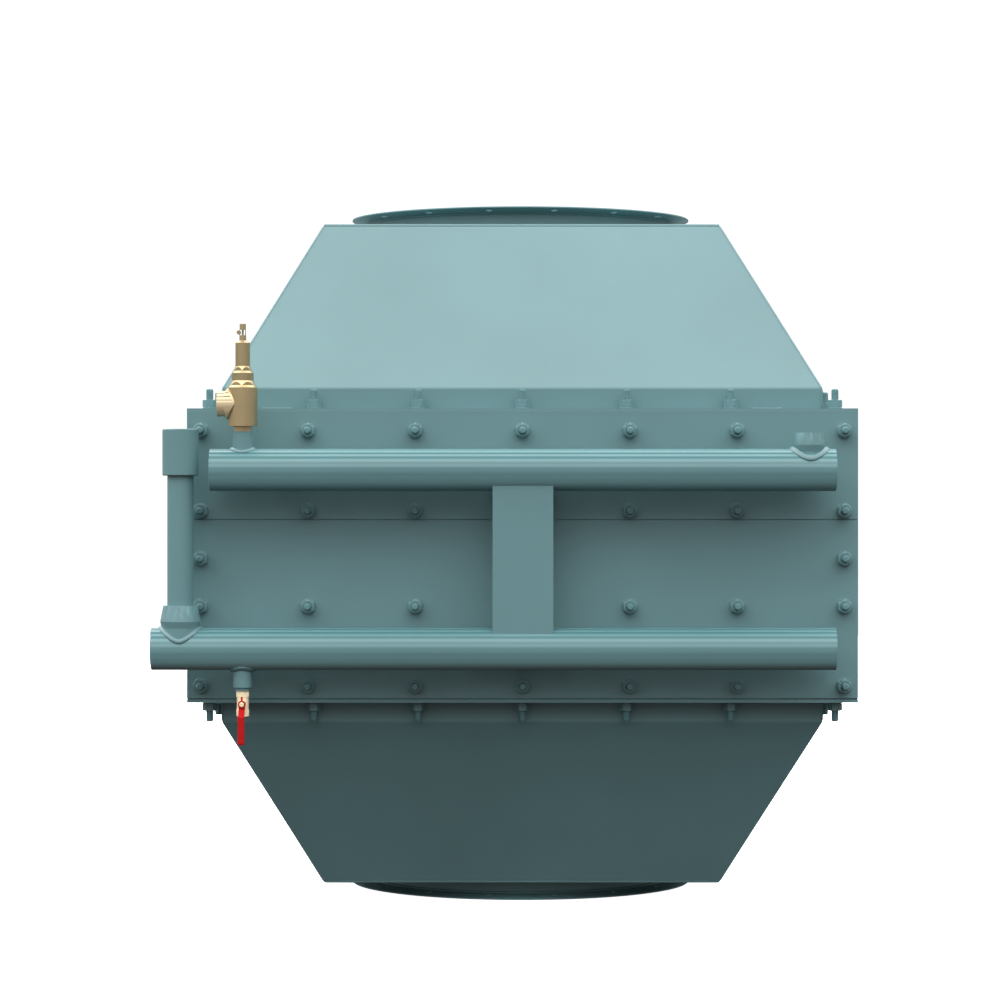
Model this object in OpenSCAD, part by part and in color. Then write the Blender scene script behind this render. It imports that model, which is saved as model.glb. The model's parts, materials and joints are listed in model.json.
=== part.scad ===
// Rectangular flue gas economizer: a bank of finned tubes in a square bolted
// casing, a hood with a round flue mouth below and above it, and the two water
// headers on its front.
//
// Origin: centre of the lower flue ring's face, which the unit stands on.
// +Z is up, -Y is the front with the headers, +X is to the right seen from there.

/* [Core casing] */
// Outside width and depth of the square casing
casing_w = 1292; // [1076:4:1600]
// Height of the core between the two hoods
core_h = 616; // [512:2:760]
// Thickness of the casing walls and hood plates
plate_t = 5; // [4:0.5:8]
// Thickness of the two tubesheets
sheet_t = 10; // [6:1:16]
// How far the bolting flanges and return boxes stand out from the casing
flange_w = 70; // [58:1:100]
// Thickness of the flange bars and box rails
flange_t = 6; // [4:1:10]
// Height of the turned-in leg of a box rail, which takes the cover studs
rail_leg = 55; // [40:1:65]
// Height of the cross rails behind the covers
cross_rail_h = 60; // [40:2:70]
// Distance of the cross rails from the nearer header's height
cross_rail_drop = 86.5; // [75:0.5:95]

/* [Covers] */
// Thickness of the bolted covers
cover_t = 6; // [4:1:10]
// Strip of rail left bare below the covers
cover_margin = 4; // [0:1:15]
// Gap between the covers' top edge and the upper flange
cover_top_gap = 0.5; // [0.3:0.1:8]
// Height of the seam between the covers, below the upper header's axis
cover_seam_drop = 105; // [60:1:130]
// Gap at the seam between the covers
cover_seam = 1.5; // [0.5:0.5:4]

/* [Cover studs] */
// Diameter of a cover stud
cover_stud_d = 15.9; // [12:0.1:16]
// How far a stud's end stands out from its cover
cover_stud_reach = 42.6; // [36:0.2:50]
// Number of studs across a cover
stud_columns = 7; // [5:2:9]
// Distance from a cover's side edge in to the outer studs
stud_edge = 30.2; // [26:0.2:40]
// Depth of the top row of studs below the core's top
stud_top_drop = 41.4; // [30:0.2:44]
// Height of the bottom row of studs above the core's bottom
stud_bottom_rise = 29.8; // [24:0.2:36]
// Width of a nut across its flats
nut_w = 27; // [22:0.5:28]
// Height of a nut
nut_h = 16; // [12:0.5:18]
// Diameter of a washer
washer_d = 34; // [30:0.5:36]
// Thickness of a washer
washer_t = 3.5; // [2:0.5:4]

/* [Hoods] */
// Width of the square end plate round each flue mouth
end_plate_w = 875; // [830:1:1000]
// Height of a hood's sloping plates
slope_h = 369.5; // [300:0.5:460]
// Height of a hood's upright skirt
skirt_h = 46; // [30:1:80]
// Outside radius of the bend between slope and skirt
bend_r = 14; // [10:1:30]

/* [Flue mouths] */
// Outside diameter of a flue collar
collar_d = 711; // [590:1:800]
// Thickness of a flue collar
collar_t = 5; // [4:0.5:8]
// Height of a ring's face above its end plate
collar_h = 44.5; // [35:0.5:90]
// Width of a flue ring outside its collar
ring_w = 38.5; // [32:0.5:50]
// Thickness of a flue ring
ring_t = 12; // [8:1:20]
// Step from a ring's face down to the collar's welded end
collar_step = 4; // [2:0.5:6]
// Number of bolt holes in a ring
ring_holes = 16; // [8:2:32]
// Diameter of a ring's bolt holes
ring_hole_d = 14; // [8:0.5:16]

/* [Tube bank] */
// Outside diameter of a tube
tube_d = 25.4; // [21.3:0.1:33.4]
// Outside diameter of the fins
fin_d = 50.8; // [42:0.2:60]
// Distance between neighbouring tubes in a row
tube_pitch = 65.2; // [62:0.1:80]
// Least distance from a side wall to the nearest tube's axis
bank_side = 86; // [60:1:120]
// Number of rows
row_count = 6; // [4:2:6]
// Distance between rows
row_pitch = 75.3; // [63:0.1:80]
// How far the bank's middle lies below the core's middle
bank_drop = 6.5; // [0:0.5:20]
// How far a tube's end stands past its tubesheet
tube_end = 10; // [5:1:16]
// Bare tube between the fins and a tubesheet
bare_end = 8; // [4:1:20]

/* [Headers] */
// Outside diameter of a header
header_d = 88.9; // [73:0.1:114.3]
// Thickness of a header's wall
header_t = 5.5; // [3:0.1:9]
// Distance from the covers' face to a header's axis
header_reach = 99; // [85:1:150]
// Distance from the covers' side edge in to a header's end
header_inset = 58.5; // [20:0.5:100]
// How far the lower header runs out past the left side edge
inlet_overrun = 64.5; // [60:0.5:120]
// Thickness of a header's end plate
cap_t = 9; // [6:1:16]
// Diameter of the stubs between a header and the tubes
stub_d = 28; // [25.4:0.1:33.4]

/* [Header post] */
// Width of the post between the headers
post_w = 127; // [100:1:180]
// Thickness of the post's folded plate
post_t = 6; // [4:1:10]
// Distance from the header axes forward to the post's front face
post_front = 30; // [15:1:34]
// Height of the post's seam above the lower header's axis
post_seam = 124.5; // [90:0.5:160]

/* [Water inlet] */
// Outside diameter of the riser pipe
riser_d = 55.5; // [48:0.5:61]
// Thickness of the riser pipe's wall
riser_t = 3.9; // [2.5:0.1:6]
// Distance from the lower header's left end to the riser
riser_inset = 60.5; // [50:0.5:100]
// Height of the coupling's mouth above the lower header's axis
riser_h = 462.5; // [380:0.5:520]
// Outside diameter of the threaded coupling
coupling_d = 76; // [74:0.5:90]
// Diameter of the coupling's threaded bore
coupling_bore_d = 57.3; // [50:0.1:61]
// Length of the threaded coupling
coupling_len = 98; // [70:1:120]
// Height of the inlet fitting's shoulder above the header's axis
inlet_fitting_h = 91; // [80:1:110]
// Diameter of the inlet fitting's foot
inlet_foot_d = 85; // [78:0.5:87]
// Diameter of the inlet fitting's shoulder
inlet_top_d = 72; // [68:0.5:76]

/* [Water outlet] */
// Distance from the upper header's right end to the outlet
outlet_inset = 55; // [48:1:100]
// Height of the outlet fitting above the header's axis
outlet_fitting_h = 78; // [70:1:100]
// Diameter of the outlet fitting's foot
outlet_foot_d = 67; // [64:0.5:76]
// Diameter of the outlet fitting's mouth
outlet_top_d = 60.3; // [56:0.1:62]
// Diameter of the outlet's threaded bore
outlet_bore_d = 44; // [38:0.5:46]
// Depth of the outlet's threaded bore
outlet_bore_h = 22; // [16:1:26]

/* [Relief valve] */
// Distance from the upper header's left end to the relief valve
relief_inset = 68.5; // [60:0.5:100]
// Diameter of the half coupling under the valve
relief_boss_d = 42; // [41:0.5:48]
// Height of the half coupling's face above the header's axis
relief_boss_h = 81; // [70:1:100]
// Diameter of the valve body
relief_body_d = 62; // [58:0.5:64]
// Height of the valve body, up to its shoulder
relief_body_h = 81; // [76:1:100]
// Diameter of the side outlet
relief_outlet_d = 54; // [48:0.5:55]
// Distance from the valve's axis to the side outlet's face
relief_outlet_reach = 53.5; // [50:0.5:70]
// Diameter of the side outlet's threaded bore
relief_bore_d = 33; // [30:0.5:36]
// Depth of the side outlet's threaded bore
relief_bore_h = 16; // [14:1:18]
// Diameter of the bonnet's collar
bonnet_d = 46; // [40:0.5:48]
// Diameter of the spring housing
spring_d = 31; // [26:0.5:34]
// Height of the spring housing
spring_h = 51; // [40:1:70]
// Diameter of the lifting yoke at the top
yoke_d = 14.5; // [13:0.5:18]

/* [Drain valve] */
// Diameter of the half coupling over the drain valve
drain_boss_d = 41; // [38:0.5:44]
// Depth of the half coupling's face below the header's axis
drain_boss_h = 82; // [70:1:100]
// Width across the flats of the valve body's ends
drain_body_w = 26; // [25:0.5:32]
// Length of the valve body
drain_body_h = 54; // [48:1:64]
// Diameter of the drain's threaded bore
drain_bore_d = 18.6; // [17:0.2:20]
// Depth of the drain's threaded bore
drain_bore_h = 14; // [10:1:16]
// Diameter of the valve's stem
stem_d = 8; // [6:0.5:9]
// Width of the lever's grip
lever_w = 14; // [12:0.5:20]
// Length of the lever below the stem
lever_len = 84; // [70:1:120]
// Free space between the lever and the valve body
lever_gap = 5.5; // [5:0.5:10]
// How far the lever's grip stands out in front of its hub
lever_offset = 20; // [10:1:30]
// Thickness of the lever's dipped grip
grip_t = 6; // [4:0.5:8]

/* [Hidden] */

$fn = 96;
paint = "#62888c";
brass = "#c8a86a";
steel = "#8c9295";
red = "#bb201e";
// Gap left at a welded or screwed joint between round or mitred pieces
weld_gap = 0.3;
// Gap round a tube in its tubesheet
tube_gap = 0.3;
// Gap round a stub in the cover it passes through
stub_gap = 2;
// Gap round a stud in its cover
stud_gap = 0.8;
// Small overrun of a cutting shape past the face it cuts
cut = 1;

// Heights
core_z0 = collar_h + slope_h + skirt_h + flange_t;
core_z1 = core_z0 + core_h;
total_h = core_z1 + core_z0;
bank_z = total_h / 2 - bank_drop;
function row_z(i) = bank_z + (i - (row_count - 1) / 2) * row_pitch;
lower_z = row_z(0);
upper_z = row_z(row_count - 1);
seam_z = upper_z - cover_seam_drop;

// Distances out from the vertical centre line
half = casing_w / 2;
rim = half + flange_w;
header_y = -rim - header_reach;
header_r = header_d / 2;
header_bore_r = header_r - header_t;

// Tubes across the bank
tube_count = floor((casing_w - 2 * plate_t - 2 * bank_side) / tube_pitch) + 1;
tube_x = [for (i = [0 : tube_count - 1]) (i - (tube_count - 1) / 2) * tube_pitch];

// Ends of the headers and the places of what stands on them
header_right = rim - header_inset;
upper_left = -header_right;
lower_left = -rim - inlet_overrun;
riser_x = lower_left + riser_inset;
outlet_x = header_right - outlet_inset;
relief_x = upper_left + relief_inset;
drain_x = relief_x;

// ---------------------------------------------------------------- helpers

// Places the children where the upper hood is, upside down
module at_top() translate([0, 0, total_h]) mirror([0, 0, 1]) children();

// Part of the plan nearer to the rear side than to any other
module rear_quarter(gap = 0) {
    reach = 2 * rim;
    translate([0, gap, 0]) linear_extrude(total_h) polygon([[0, 0], [reach, reach], [-reach, reach]]);
}

// Cylinder along X, Y or forward along -Y
module along_x(d, len) rotate([0, 90, 0]) cylinder(d = d, h = len);
module along_y(d, len) rotate([-90, 0, 0]) cylinder(d = d, h = len);
module forward(d, len) rotate([90, 0, 0]) cylinder(d = d, h = len);

// Upright bar with a chamfer at both ends
module chamfered(d, h, edge) rotate_extrude() polygon([
    [0, 0], [d / 2 - edge, 0], [d / 2, edge], [d / 2, h - edge], [d / 2 - edge, h], [0, h]
]);

// Upright hexagon bar with a corner at the front, by its width across the flats
module hexagon(w, h) rotate([0, 0, 30]) cylinder(d = w / cos(30), h = h, $fn = 6);

// Space that a header fills, with the weld gap round it
module header_space(z) {
    translate([lower_left, header_y, z]) along_x(header_d + 2 * weld_gap, header_right - lower_left);
}

// ---------------------------------------------------------------- flue mouths

module ring() {
    hole_circle_r = collar_d / 2 + ring_w / 2 + 1;
    color(paint) difference() {
        cylinder(d = collar_d + 2 * ring_w, h = ring_t);
        translate([0, 0, -cut]) cylinder(d = collar_d + 2 * weld_gap, h = ring_t + 2 * cut);
        for (i = [0 : ring_holes - 1]) rotate([0, 0, (i + 0.5) * 360 / ring_holes])
            translate([hole_circle_r, 0, -cut]) cylinder(d = ring_hole_d, h = ring_t + 2 * cut, $fn = 48);
    }
}

module collar() {
    color(paint) translate([0, 0, collar_step]) difference() {
        cylinder(d = collar_d, h = collar_h - collar_step);
        translate([0, 0, -cut]) cylinder(d = collar_d - 2 * collar_t, h = collar_h + 2 * cut);
    }
}

module end_plate() {
    color(paint) translate([0, 0, collar_h]) difference() {
        translate([-end_plate_w / 2, -end_plate_w / 2, 0]) cube([end_plate_w, end_plate_w, plate_t]);
        translate([0, 0, -cut]) cylinder(d = collar_d - 2 * collar_t, h = plate_t + 2 * cut);
    }
}

// ---------------------------------------------------------------- hoods

// Section of a bent hood plate: distance out from the centre line, then height
module hood_section() {
    end_half = end_plate_w / 2;
    lean = atan2(slope_h, half - end_half);
    turn = 90 - lean;
    foot_z = collar_h + plate_t;
    foot_r = end_half + plate_t / tan(lean);
    bend_c = [half - bend_r, collar_h + slope_h + bend_r * tan(turn / 2)];
    steps = 6;
    function arc(r, a) = bend_c + r * [cos(a), sin(a)];
    polygon(concat(
        [[foot_r, foot_z]],
        [for (i = [0 : steps]) arc(bend_r, -turn + turn * i / steps)],
        [[half, core_z0], [half - plate_t, core_z0]],
        [for (i = [steps : -1 : 0]) arc(bend_r - plate_t, -turn + turn * i / steps)],
        [[foot_r - plate_t / sin(lean), foot_z]]
    ));
}

// One bent hood plate, mitred at its ends, on the side at this turn from the rear
module hood_plate(side) {
    color(paint) rotate([0, 0, side]) intersection() {
        rotate([90, 0, 90]) translate([0, 0, -half]) linear_extrude(casing_w) hood_section();
        rear_quarter();
    }
}

module hood_sides() {
    hood_plate(90);
    hood_plate(-90);
}

// Bolting flange round the skirt: four flat bars, mitred at the corners
module hood_flange() {
    color(paint) for (side = [0 : 90 : 270]) rotate([0, 0, side]) intersection() {
        translate([-rim, half, core_z0 - flange_t]) cube([2 * rim, flange_w, flange_t]);
        rear_quarter(weld_gap);
    }
}

// ---------------------------------------------------------------- core casing

module side_walls() {
    depth = casing_w - 2 * sheet_t;
    color(paint) for (x = [-half, half - plate_t])
        translate([x, -depth / 2, core_z0]) cube([plate_t, depth, core_h]);
}

module side_flanges() {
    depth = casing_w - 2 * sheet_t;
    color(paint) for (x = [-rim, half]) for (z = [core_z0, core_z1 - flange_t])
        translate([x, -depth / 2, z]) cube([flange_w, depth, flange_t]);
}

// Plate that the tubes pass through; its outer face is flush with the casing
module tubesheet() {
    color(paint) difference() {
        translate([-rim, -half, core_z0]) cube([2 * rim, sheet_t, core_h]);
        for (row = [0 : row_count - 1]) for (x = tube_x)
            translate([x, -half - cut, row_z(row)])
                along_y(tube_d + 2 * tube_gap, sheet_t + 2 * cut, $fn = 32);
    }
}

// Angle rail along the top or bottom of a return box; its leg turns to the middle
// and ends clear of the nearer row of stubs
leg_end_gap = stub_d / 2 + stub_gap;
top_leg = min(rail_leg, core_z1 - upper_z - leg_end_gap);
bottom_leg = min(rail_leg, lower_z - core_z0 - leg_end_gap);
module box_rail(up) {
    depth = flange_w - cover_t;
    leg = up ? top_leg : bottom_leg;
    z0 = up ? core_z1 - flange_t : core_z0;
    leg_z = up ? core_z1 - leg : core_z0;
    translate([-rim, -half - depth, z0]) cube([2 * rim, depth, flange_t]);
    translate([-rim, -half - depth, leg_z]) cube([2 * rim, flange_t, leg]);
}

// Upright angle at a side of a return box, fitted between the two rails
module box_end() {
    depth = flange_w - cover_t;
    inner_h = core_h - 2 * (flange_t + weld_gap);
    leg_h = core_h - top_leg - bottom_leg - 2 * weld_gap;
    leg_z = core_z0 + bottom_leg + weld_gap;
    translate([-rim, -half - depth + flange_t + weld_gap, core_z0 + flange_t + weld_gap])
        cube([flange_t, depth - flange_t - weld_gap, inner_h]);
    translate([-rim, -half - depth, leg_z]) cube([rail_leg, flange_t, leg_h]);
    translate([-rim, -half - depth, leg_z]) cube([flange_t, 2 * flange_t, leg_h]);
}

// Flat bar behind the covers, between the upright angles
module cross_rail(z) {
    depth = flange_w - cover_t;
    width = 2 * (rim - rail_leg - weld_gap);
    translate([-width / 2, -half - depth, z - cross_rail_h / 2]) cube([width, flange_t, cross_rail_h]);
}

module return_box() {
    color(paint) {
        box_rail(true);
        box_rail(false);
        box_end();
        mirror([1, 0, 0]) box_end();
        cross_rail(upper_z - cross_rail_drop);
        cross_rail(lower_z + cross_rail_drop);
    }
}

// Places of the cover studs: a row on each rail, and one stud half way up each side
stud_xs = [for (i = [0 : stud_columns - 1]) (rim - stud_edge) * (2 * i / (stud_columns - 1) - 1)];
stud_zs = [core_z0 + stud_bottom_rise, lower_z + cross_rail_drop,
           upper_z - cross_rail_drop, core_z1 - stud_top_drop];
stud_places = concat([for (x = stud_xs) for (z = stud_zs) [x, z]],
                     [for (side = [-1, 1]) [side * (rim - stud_edge), bank_z]]);

// Bolted cover between two heights, with clearance holes for its studs and a row of stubs
module cover(z0, z1, stub_z = undef) {
    color(paint) difference() {
        translate([-rim, -rim, z0]) cube([2 * rim, cover_t, z1 - z0]);
        for (place = stud_places) if (place[1] > z0 && place[1] < z1)
            translate([place[0], -rim - cut, place[1]])
                along_y(cover_stud_d + 2 * stud_gap, cover_t + 2 * cut, $fn = 32);
        if (stub_z != undef) for (x = tube_x)
            translate([x, -rim - cut, stub_z]) along_y(stub_d + 2 * stub_gap, cover_t + 2 * cut, $fn = 32);
    }
}

module upper_cover(stub_z = undef) {
    cover(seam_z + cover_seam / 2, core_z1 - cover_top_gap, stub_z);
}

module lower_cover(stub_z = undef) {
    cover(core_z0 + cover_margin, seam_z - cover_seam / 2, stub_z);
}

// Stud on its rail, with the washer and the nut that hold the cover
module cover_stud() {
    translate([0, 0, -cover_t]) chamfered(cover_stud_d, cover_t + cover_stud_reach, 1.5, $fn = 32);
    cylinder(d = washer_d, h = washer_t, $fn = 48);
    translate([0, 0, washer_t - weld_gap]) hexagon(nut_w, nut_h + weld_gap);
}

module cover_studs() {
    color(paint) for (place = stud_places)
        translate([place[0], -rim, place[1]]) rotate([90, 0, 0]) cover_stud();
}

// ---------------------------------------------------------------- tube bank

// Tube through both tubesheets, with its fins as their outer envelope
module finned_tube() {
    fin_len = casing_w - 2 * (sheet_t + bare_end);
    len = casing_w + 2 * tube_end;
    translate([0, -len / 2, 0]) along_y(tube_d, len, $fn = 32);
    translate([0, -fin_len / 2, 0]) along_y(fin_d, fin_len, $fn = 48);
}

module tube_rows(first, last) {
    color(steel) for (row = [first : last]) for (x = tube_x)
        translate([x, 0, row_z(row)]) finned_tube();
}

// ---------------------------------------------------------------- headers

// Pipe with a port of this bore at x; dir is 1 for a port on top, -1 below
module header(left, z, ports) {
    len = header_right - left - 2 * cap_t;
    color(paint) difference() {
        translate([left + cap_t, header_y, z]) along_x(header_d, len);
        translate([left, header_y, z]) along_x(2 * header_bore_r, header_right - left);
        for (port = ports) translate([port[0], header_y, port[2] > 0 ? z : z - header_d])
            cylinder(d = port[1], h = header_d);
    }
}

module upper_header() {
    header(upper_left, upper_z, [[outlet_x, outlet_port_d, 1], [relief_x, relief_port_d, 1]]);
}

module lower_header() {
    header(lower_left, lower_z, [[riser_x, riser_d - 2 * riser_t, 1], [drain_x, drain_port_d, -1]]);
}

module header_caps() {
    color(paint) for (end = [[upper_left, upper_z], [lower_left, lower_z],
                             [header_right - cap_t, upper_z], [header_right - cap_t, lower_z]])
        translate([end[0], header_y, end[1]]) along_x(header_d, cap_t);
}

// Stubs from the tube ends through the cover to the back of a header
module stubs(z) {
    tube_end_y = -half - tube_end;
    color(paint) difference() {
        for (x = tube_x) translate([x, tube_end_y, z]) forward(stub_d, tube_end_y - header_y, $fn = 48);
        header_space(z);
    }
}

// Folded channel between two heights, open towards the covers
module post_piece(z0, z1) {
    front_y = header_y - post_front;
    color(paint) difference() {
        translate([-post_w / 2, front_y, z0]) cube([post_w, -rim - front_y, z1 - z0]);
        translate([-post_w / 2 + post_t, front_y + post_t, z0 - cut])
            cube([post_w - 2 * post_t, -rim - front_y, z1 - z0 + 2 * cut]);
        header_space(lower_z);
        header_space(upper_z);
    }
}

// Height above a header's axis at which the post's front face meets the pipe
post_meet = sqrt(pow(header_r, 2) - pow(post_front, 2));
module post_upper() post_piece(lower_z + post_seam, upper_z - post_meet);
module post_lower() post_piece(lower_z + post_meet, lower_z + post_seam);

// ---------------------------------------------------------------- fittings on the headers

// Bores of the ports in the header walls
outlet_port_d = outlet_bore_d - 6;
relief_port_d = 20;
drain_port_d = 15;

// Branch fitting on a header: a foot bevelled for the weld, a shoulder, a tapered
// top and a stepped bore, cut to the pipe
bevel_h = 14;
bevel_w = 3;
module branch_fitting(foot_d, top_d, h, taper_h, socket_d, socket_h, bore_d) {
    shoulder_h = h - taper_h;
    color(paint) difference() {
        rotate_extrude() polygon([
            [bore_d / 2, 0], [foot_d / 2 - bevel_w, 0], [foot_d / 2 - bevel_w, shoulder_h - bevel_h],
            [foot_d / 2, shoulder_h], [top_d / 2, h],
            [socket_d / 2, h], [socket_d / 2, h - socket_h], [bore_d / 2, h - socket_h]
        ]);
        translate([-foot_d, 0, 0]) along_x(header_d + 2 * weld_gap, 2 * foot_d);
    }
}

riser_socket = 16;
module inlet_fitting() translate([riser_x, header_y, lower_z])
    branch_fitting(inlet_foot_d, inlet_top_d, inlet_fitting_h, 33,
                   riser_d + 2 * weld_gap, riser_socket, riser_d - 2 * riser_t);

module outlet_fitting() translate([outlet_x, header_y, upper_z])
    branch_fitting(outlet_foot_d, outlet_top_d, outlet_fitting_h, 26,
                   outlet_bore_d, outlet_bore_h, outlet_port_d);

// Riser from its socket up to the middle of the coupling
riser_end_h = riser_h - coupling_len / 2;
module riser_pipe() {
    len = riser_end_h - (inlet_fitting_h - riser_socket);
    color(paint) translate([riser_x, header_y, lower_z + inlet_fitting_h - riser_socket]) difference() {
        cylinder(d = riser_d, h = len);
        translate([0, 0, -cut]) cylinder(d = riser_d - 2 * riser_t, h = len + 2 * cut);
    }
}

// Coupling: the riser fills its lower socket, and its upper bore is threaded
module riser_coupling() {
    color(paint) translate([riser_x, header_y, lower_z + riser_h - coupling_len]) difference() {
        chamfered(coupling_d, coupling_len, 1.5);
        translate([0, 0, -cut]) cylinder(d = riser_d + 2 * weld_gap, h = coupling_len / 2 + cut);
        translate([0, 0, coupling_len / 2]) cylinder(d = coupling_bore_d, h = coupling_len / 2 + cut);
    }
}

// ---------------------------------------------------------------- relief valve

tail_h = 20;
tail_d = 33;
neck_w = 36;
neck_h = 11;
module relief_coupling() {
    color(paint) translate([relief_x, header_y, upper_z]) difference() {
        cylinder(d = relief_boss_d, h = relief_boss_h);
        translate([0, 0, relief_boss_h - tail_h - cut])
            cylinder(d = tail_d + 2 * weld_gap, h = tail_h + 2 * cut);
        translate([0, 0, -cut]) cylinder(d = relief_port_d, h = relief_boss_h);
        translate([-relief_boss_d, 0, 0]) along_x(header_d + 2 * weld_gap, 2 * relief_boss_d);
    }
}

// Stepped shoulder: a chamfered rim, then a cone with six wrench flats cut into it
rim_h = 4.5;
flat_h = 10;
shoulder_h = rim_h + flat_h;
module shoulder(base_d, top_d) {
    slope = (base_d - top_d) / 2 / shoulder_h;
    rim_top_d = base_d - 2 * slope * rim_h - 2;
    flats_w = (top_d + rim_top_d) / 2 - 2;
    cylinder(d1 = base_d, d2 = rim_top_d, h = rim_h);
    translate([0, 0, rim_h]) intersection() {
        cylinder(d1 = rim_top_d, d2 = top_d, h = flat_h);
        hexagon(flats_w, flat_h);
    }
}

// Boss where the side outlet leaves the body: an oval a little taller than the
// outlet, bevelled down to it just outside the body
boss_rise = 6;
module outlet_boss() {
    body_r = relief_body_d / 2;
    outlet_r = relief_outlet_d / 2;
    boss_r = outlet_r + boss_rise;
    side_r = outlet_r - 0.5;
    reach = body_r + boss_rise + 1;
    rotate([0, -90, 0]) intersection() {
        linear_extrude(reach) polygon([for (a = [0 : 7.5 : 352.5]) [boss_r * cos(a), side_r * sin(a)]]);
        rotate_extrude() polygon([
            [0, 0], [boss_r + 1, 0], [boss_r + 1, body_r], [outlet_r, reach], [0, reach]
        ]);
    }
}

// Valve body with its screwed tail, hexagon neck, side outlet and shoulder
relief_axis_h = 47;
module relief_body() {
    seat_z = upper_z + relief_boss_h;
    color(brass) translate([relief_x, header_y, seat_z]) difference() {
        union() {
            translate([0, 0, -tail_h]) cylinder(d = tail_d, h = tail_h + cut);
            hexagon(neck_w, neck_h + cut);
            translate([0, 0, neck_h]) cylinder(d = relief_body_d, h = relief_body_h);
            translate([0, 0, neck_h + relief_body_h]) shoulder(relief_body_d, bonnet_d);
            translate([0, 0, neck_h + relief_axis_h]) outlet_boss();
            translate([-relief_outlet_reach, 0, neck_h + relief_axis_h])
                along_x(relief_outlet_d, relief_outlet_reach);
        }
        translate([-relief_outlet_reach - cut, 0, neck_h + relief_axis_h])
            along_x(relief_bore_d, relief_bore_h + cut);
    }
}

// Lifting yoke: a collar, a window round the spindle, a cap, and a lug at its side
yoke_collar_h = 12;
window_h = 12;
yoke_h = yoke_collar_h + 2 * window_h;
spindle_d = 4;
lug_d = 9;
module yoke() {
    lug_x = -yoke_d / 2 - 1;
    difference() {
        cylinder(d1 = yoke_d, d2 = yoke_d - 1.5, h = yoke_h);
        translate([-yoke_d / 2 + 1.5, -yoke_d, yoke_collar_h]) cube([yoke_d - 3.5, 2 * yoke_d, window_h]);
    }
    translate([0, 0, yoke_collar_h - cut]) cylinder(d = spindle_d, h = window_h + 2 * cut);
    translate([lug_x, lug_d / 2, yoke_collar_h + window_h / 2]) forward(lug_d, lug_d);
}

// Screwed bonnet: collar, shoulder, spring housing, and the lifting yoke on top
bonnet_collar_h = 16;
dome_h = 3;
module relief_bonnet() {
    base_z = upper_z + relief_boss_h + neck_h + relief_body_h + shoulder_h;
    housing_z = bonnet_collar_h + shoulder_h;
    color(brass) translate([relief_x, header_y, base_z]) {
        cylinder(d = bonnet_d, h = bonnet_collar_h);
        translate([0, 0, bonnet_collar_h]) shoulder(bonnet_d, spring_d + 1.5);
        translate([0, 0, housing_z - cut]) cylinder(d = spring_d, h = spring_h - 1);
        translate([0, 0, housing_z + spring_h - 2]) cylinder(d1 = spring_d, d2 = spring_d - 4, h = 2);
        translate([0, 0, housing_z + spring_h - cut])
            cylinder(d1 = spring_d - 6, d2 = yoke_d + 1, h = dome_h + cut);
        translate([0, 0, housing_z + spring_h + dome_h - cut]) yoke();
    }
}

// ---------------------------------------------------------------- drain valve

nipple_h = 5.5;
nipple_d = 33;
nipple_tail_d = 26;
nipple_tail = 12;
module drain_coupling() {
    color(paint) translate([drain_x, header_y, lower_z]) difference() {
        translate([0, 0, -drain_boss_h]) chamfered(drain_boss_d, drain_boss_h, 1.5);
        translate([0, 0, -drain_boss_h - cut])
            cylinder(d = nipple_tail_d + 2 * weld_gap, h = nipple_tail + cut);
        translate([0, 0, -drain_boss_h - cut]) cylinder(d = drain_port_d, h = drain_boss_h);
        translate([-drain_boss_d, 0, 0]) along_x(header_d + 2 * weld_gap, 2 * drain_boss_d);
    }
}

module drain_nipple() {
    color(paint) translate([drain_x, header_y, lower_z - drain_boss_h]) difference() {
        union() {
            translate([0, 0, -nipple_h]) cylinder(d = nipple_d, h = nipple_h);
            cylinder(d = nipple_tail_d, h = nipple_tail - weld_gap);
        }
        translate([0, 0, -nipple_h - cut]) cylinder(d = drain_port_d, h = nipple_h + nipple_tail + 2 * cut);
    }
}

// Ball valve: a hexagon at each end of a round body, with a stem boss at the front
drain_top_z = lower_z - drain_boss_h - nipple_h;
stem_h = 28;
boss_d = 15;
boss_reach = 20;
module drain_valve() {
    hex_h = 14;
    body_d = drain_body_w - 1;
    color(brass) translate([drain_x, header_y, drain_top_z]) difference() {
        union() {
            for (z = [-hex_h, -drain_body_h]) translate([0, 0, z]) intersection() {
                hexagon(drain_body_w, hex_h);
                chamfered(drain_body_w / cos(30), hex_h, 2);
            }
            translate([0, 0, -drain_body_h + hex_h - cut])
                cylinder(d = body_d, h = drain_body_h - 2 * (hex_h - cut));
            translate([0, 0, -stem_h]) forward(boss_d, boss_reach);
        }
        translate([0, 0, -drain_body_h - cut]) cylinder(d = drain_bore_d, h = drain_bore_h + cut);
        translate([0, 0, -drain_body_h]) cylinder(d = drain_port_d, h = drain_body_h + cut);
        translate([0, -drain_body_w / 2 + 2, -stem_h]) forward(stem_d + 2 * weld_gap, boss_reach);
    }
}

// Stem with a slotted end, and the washer and nut that hold the lever; all of it
// turns with the lever
lever_t = 3;
hub_y = -boss_reach - lever_gap;
module drain_stem() {
    end_reach = 8;
    slot_w = 1.6;
    end_y = hub_y - lever_t - end_reach;
    color(brass) translate([drain_x, header_y, drain_top_z - stem_h]) {
        difference() {
            translate([0, -drain_body_w / 2 + 1, 0]) forward(stem_d, -end_y - drain_body_w / 2 + 1);
            translate([-slot_w / 2, end_y - cut, -stem_d]) cube([slot_w, 2 + cut, 2 * stem_d]);
        }
        translate([0, hub_y - lever_t, 0]) forward(13, 5, $fn = 6);
        translate([0, hub_y + 4, 0]) forward(12, 4);
    }
}

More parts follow.
